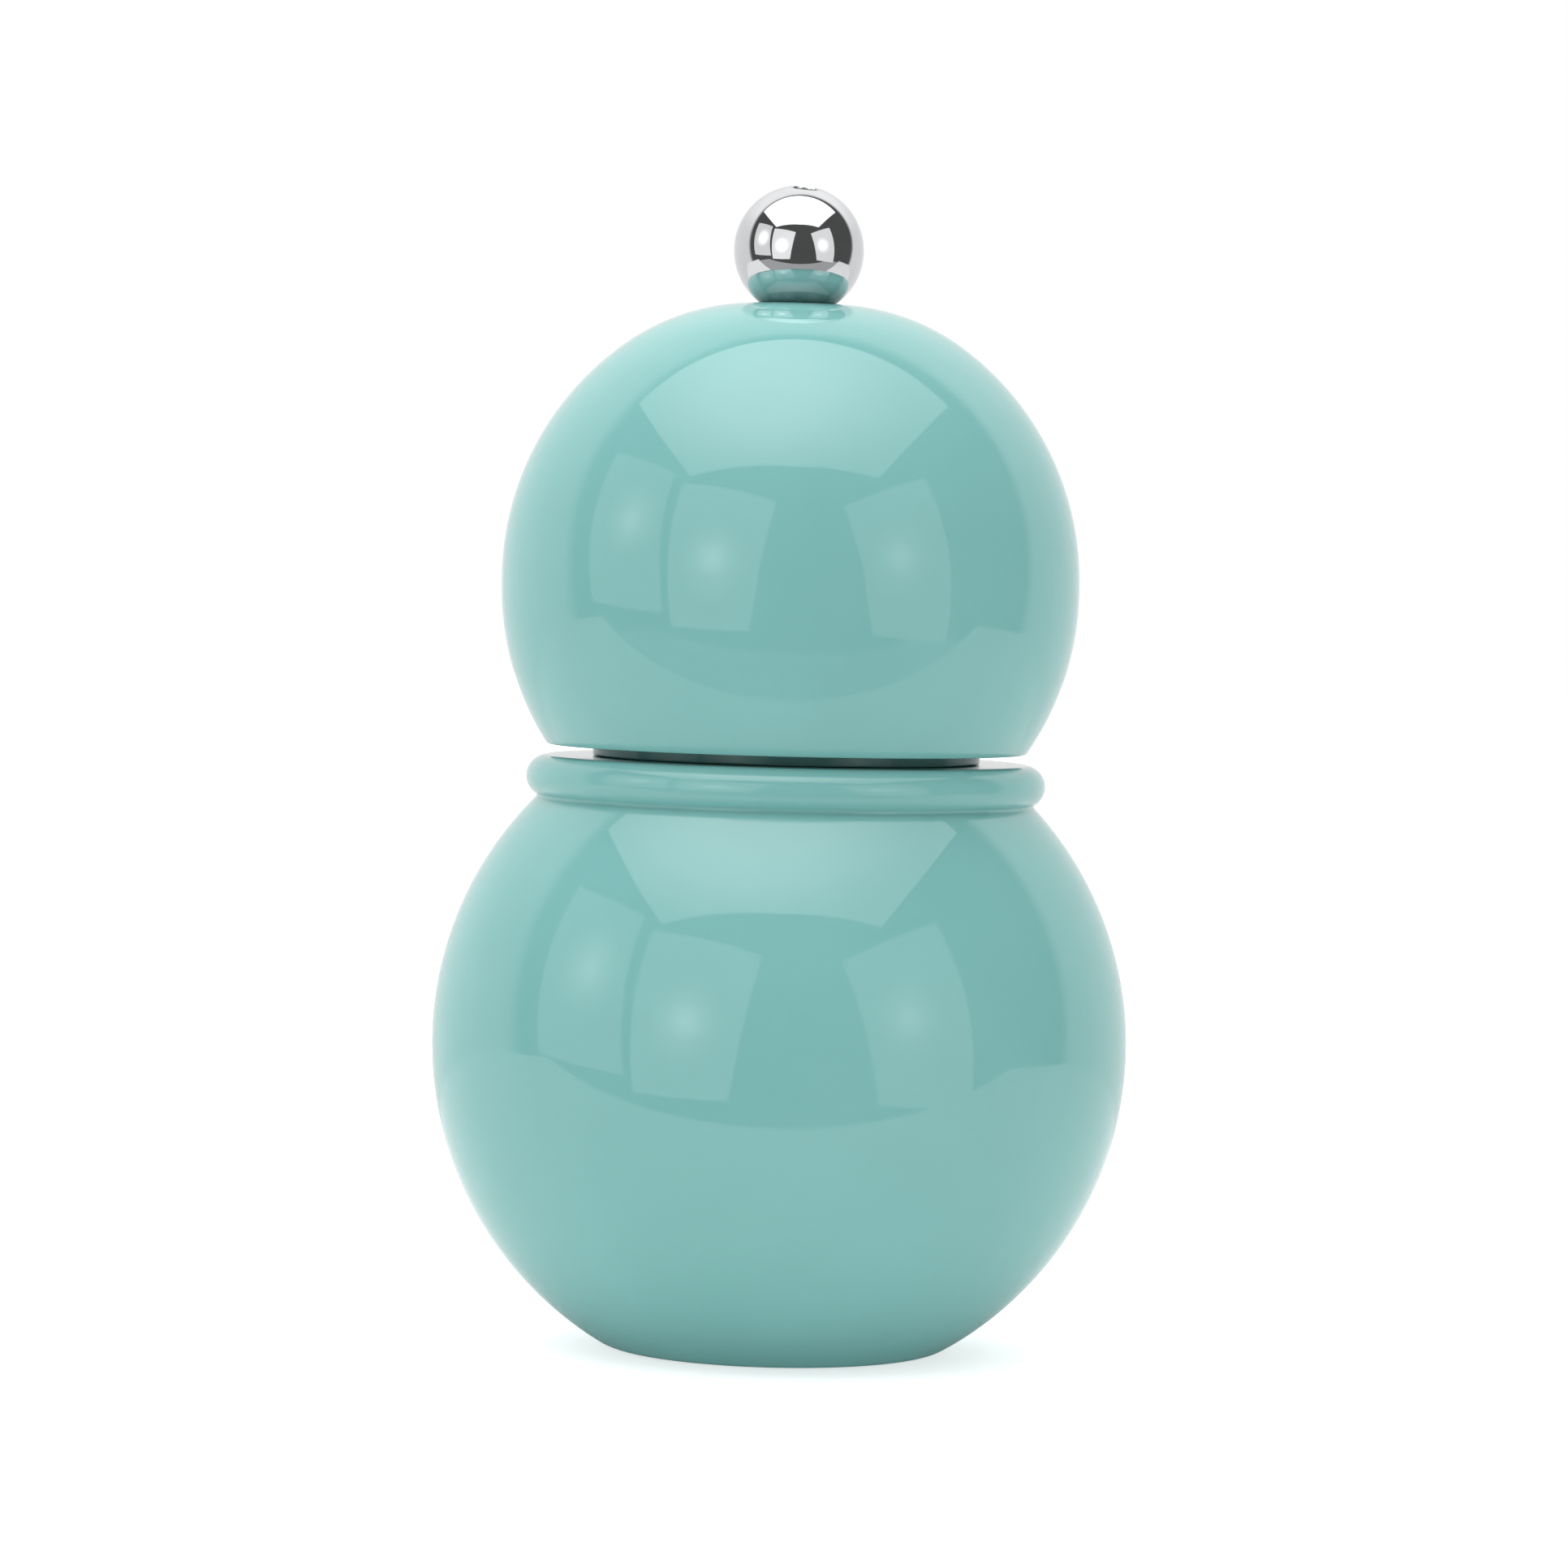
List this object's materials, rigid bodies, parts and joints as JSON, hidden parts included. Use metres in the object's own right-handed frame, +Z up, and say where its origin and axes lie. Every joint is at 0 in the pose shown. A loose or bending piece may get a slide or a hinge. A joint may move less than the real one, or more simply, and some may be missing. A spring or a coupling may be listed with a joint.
{
  "type": "pepper mill",
  "caption": "Pepper mill of lacquered turned wood: a ball body with a neck bead, a turning ball head, a chromed ball nut that sets the grind, and a ceramic grinder in its foot.",
  "frame": {"origin": "centre of the foot, on the table that the mill stands on", "axes": "+Z up along the mill's axis; X and Y are level, with a bridge screw and a driver screw on +X"},
  "size_m": [0.07, 0.07, 0.117],
  "materials": {
    "lacquered_wood": "turned wood under high-gloss pale teal lacquer, bare inside the bores",
    "housing_nylon": "moulded black nylon, fine matt texture",
    "sleeve_nylon": "natural nylon, satin",
    "burr_ceramic": "fired ceramic, matt",
    "plate_steel": "stamped stainless sheet, fine grain",
    "screw_steel": "zinc-plated steel",
    "spring_steel": "drawn spring steel",
    "shaft_aluminium": "drawn aluminium rod",
    "knob_chrome": "mirror-polished chrome plate on brass"
  },
  "bodies": {
    "base": {"base_body": "lacquered_wood", "stator_housing": "housing_nylon", "stator_ring": "burr_ceramic", "retaining_bridge": "plate_steel", "bridge_screw_1": "screw_steel", "bridge_screw_2": "screw_steel", "bridge_screw_3": "screw_steel"},
    "drive": {"shaft_bush": "sleeve_nylon", "thrust_spring": "spring_steel"},
    "shaft": {"drive_shaft": "shaft_aluminium", "rotor_carrier": "sleeve_nylon", "rotor_burr": "burr_ceramic", "shaft_clip": "spring_steel", "spring_washer": "plate_steel"},
    "head": {"mill_head": "lacquered_wood", "driver_plate": "plate_steel", "driver_screw_1": "screw_steel", "driver_screw_2": "screw_steel", "driver_screw_3": "screw_steel"},
    "knob": {"ball_knob": "knob_chrome"}
  },
  "joints": [
    {"name": "grind_spin", "type": "hinge", "parent": "base", "child": "drive", "pos_m": [0, 0, 0.0257], "axis": [0, 0, 1], "continuous": true},
    {"name": "rotor_feed", "type": "slide", "parent": "drive", "child": "shaft", "axis": [0, 0, 1], "range_m": [0, 0.00175], "deforming": ["thrust_spring"]},
    {"name": "head_lift", "type": "slide", "parent": "drive", "child": "head", "axis": [0, 0, 1], "range_m": [0, 0.064]},
    {"name": "knob_turn", "type": "hinge", "parent": "head", "child": "knob", "pos_m": [0, 0, 0.1105], "axis": [0, 0, -1], "range_deg": [0, 900]}
  ],
  "couplings": [
    {"joint": "rotor_feed", "follows": "knob_turn", "m_per_rad": 0.00011141}
  ]
}
